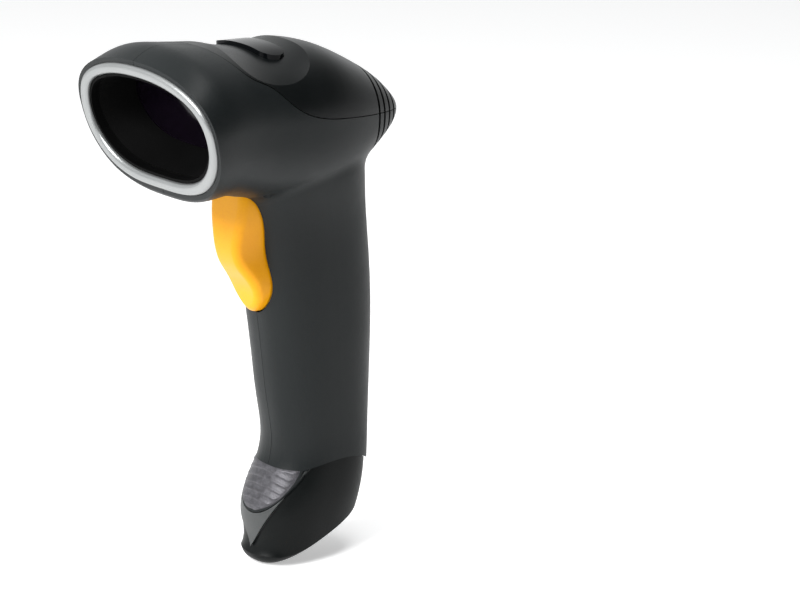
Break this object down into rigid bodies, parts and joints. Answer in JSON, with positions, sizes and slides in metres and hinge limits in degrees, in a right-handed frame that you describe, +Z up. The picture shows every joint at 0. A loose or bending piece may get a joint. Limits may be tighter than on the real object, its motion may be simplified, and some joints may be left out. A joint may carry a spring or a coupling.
{
  "type": "handheld barcode scanner",
  "caption": "Pistol-grip handheld barcode scanner with a wide oval mouth, hinged trigger and a cable socket in its foot.",
  "frame": {"origin": "under the middle of the body's length and width, at the height of the foot's lowest point", "axes": "+Z up along the grip to the head, -Y out of the scanning mouth, X = 0 is the plane of symmetry"},
  "size_m": [0.063, 0.084, 0.152],
  "materials": {
    "housing": "fine moulded grain, satin",
    "cover": "fine moulded grain, slightly smoother",
    "foot": "satin gloss",
    "rim": "satin pale grey",
    "bezel": "dull black",
    "window": "polished dark red",
    "window_clear": "polished",
    "rubber": "dull",
    "lens": "smoked, polished",
    "trigger": "satin gloss",
    "steel": "bright",
    "black_plastic": "satin",
    "button": "satin white",
    "circuit_board": "green solder mask",
    "chip": "dull black",
    "contact": "gold plated",
    "ribbon": "satin",
    "chassis": "glass filled plastic",
    "mirror": "front surface mirror",
    "magnet": "plated",
    "coil": "varnished wire",
    "led": "clear"
  },
  "bodies": {
    "housing": {"left_housing": "housing", "right_housing": "housing", "top_cover": "cover", "foot_cap": "foot", "nose_rim": "rim", "nose_bezel": "bezel", "scan_window": "window", "window_gasket": "rubber", "indicator_lens": "lens", "trigger_pin": "steel", "trigger_spring": "steel", "switch_body": "black_plastic", "handle_board": "circuit_board", "board_chips": "chip", "cable_jack": "black_plastic", "jack_contacts": "contact", "head_board": "circuit_board", "board_ribbon": "ribbon", "beeper": "black_plastic", "engine_chassis": "chassis", "mirror_pin": "steel", "drive_coil": "coil", "laser_barrel": "contact", "laser_lens": "window_clear", "laser_diode": "steel", "photo_board": "circuit_board", "photodiode": "chip", "collector_filter": "window", "engine_grommets": "rubber", "engine_screws": "steel", "housing_screws": "steel", "led_board": "circuit_board", "status_leds": "led"},
    "trigger": {"trigger": "trigger"},
    "switch_plunger": {"switch_plunger": "button"},
    "scan_mirror": {"mirror_carrier": "button", "scan_mirror": "mirror", "mirror_magnet": "magnet"}
  },
  "joints": [
    {"name": "trigger_pull", "type": "hinge", "parent": "housing", "child": "trigger", "pos_m": [0, -0.003, 0.1155], "axis": [1, 0, 0], "range_deg": [0, 5], "stiffness_Nm_per_rad": 0.25, "springref_deg": -6.88, "deforming": ["trigger_spring"]},
    {"name": "switch_press", "type": "slide", "parent": "housing", "child": "switch_plunger", "axis": [0, 1, 0], "range_m": [0, 0.0018]},
    {"name": "mirror_swing", "type": "hinge", "parent": "housing", "child": "scan_mirror", "pos_m": [0, 0.004, 0.129], "axis": [0, 0, 1], "range_deg": [-12, 12], "stiffness_Nm_per_rad": 0.0005}
  ],
  "couplings": [
    {"joint": "switch_press", "follows": "trigger_pull", "m_per_rad": 0.0195}
  ]
}
